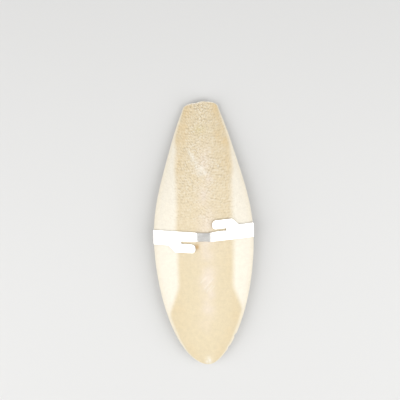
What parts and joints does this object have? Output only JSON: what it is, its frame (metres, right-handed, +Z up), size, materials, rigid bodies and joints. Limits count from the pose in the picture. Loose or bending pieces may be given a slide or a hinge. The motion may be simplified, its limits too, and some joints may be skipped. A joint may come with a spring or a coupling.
{
  "type": "cuttlebone",
  "caption": "Long oval cuttlebone with a granular cream back, a chalky belly and a trimmed end, held by a sheet-metal clip for hanging on cage bars.",
  "frame": {"origin": "on the surface it lies on, below the middle of the whole object", "axes": "+X to the right, +Y along the bone towards its trimmed rear end, +Z up out of the granular back"},
  "size_m": [0.1082, 0.28, 0.0318],
  "materials": {
    "bone": "matte, chalky, granular on the back",
    "plated_steel": "bright nickel plate with faint rolling marks"
  },
  "bodies": {
    "root": {"cuttlebone": "bone", "clip": "plated_steel"}
  },
  "joints": []
}
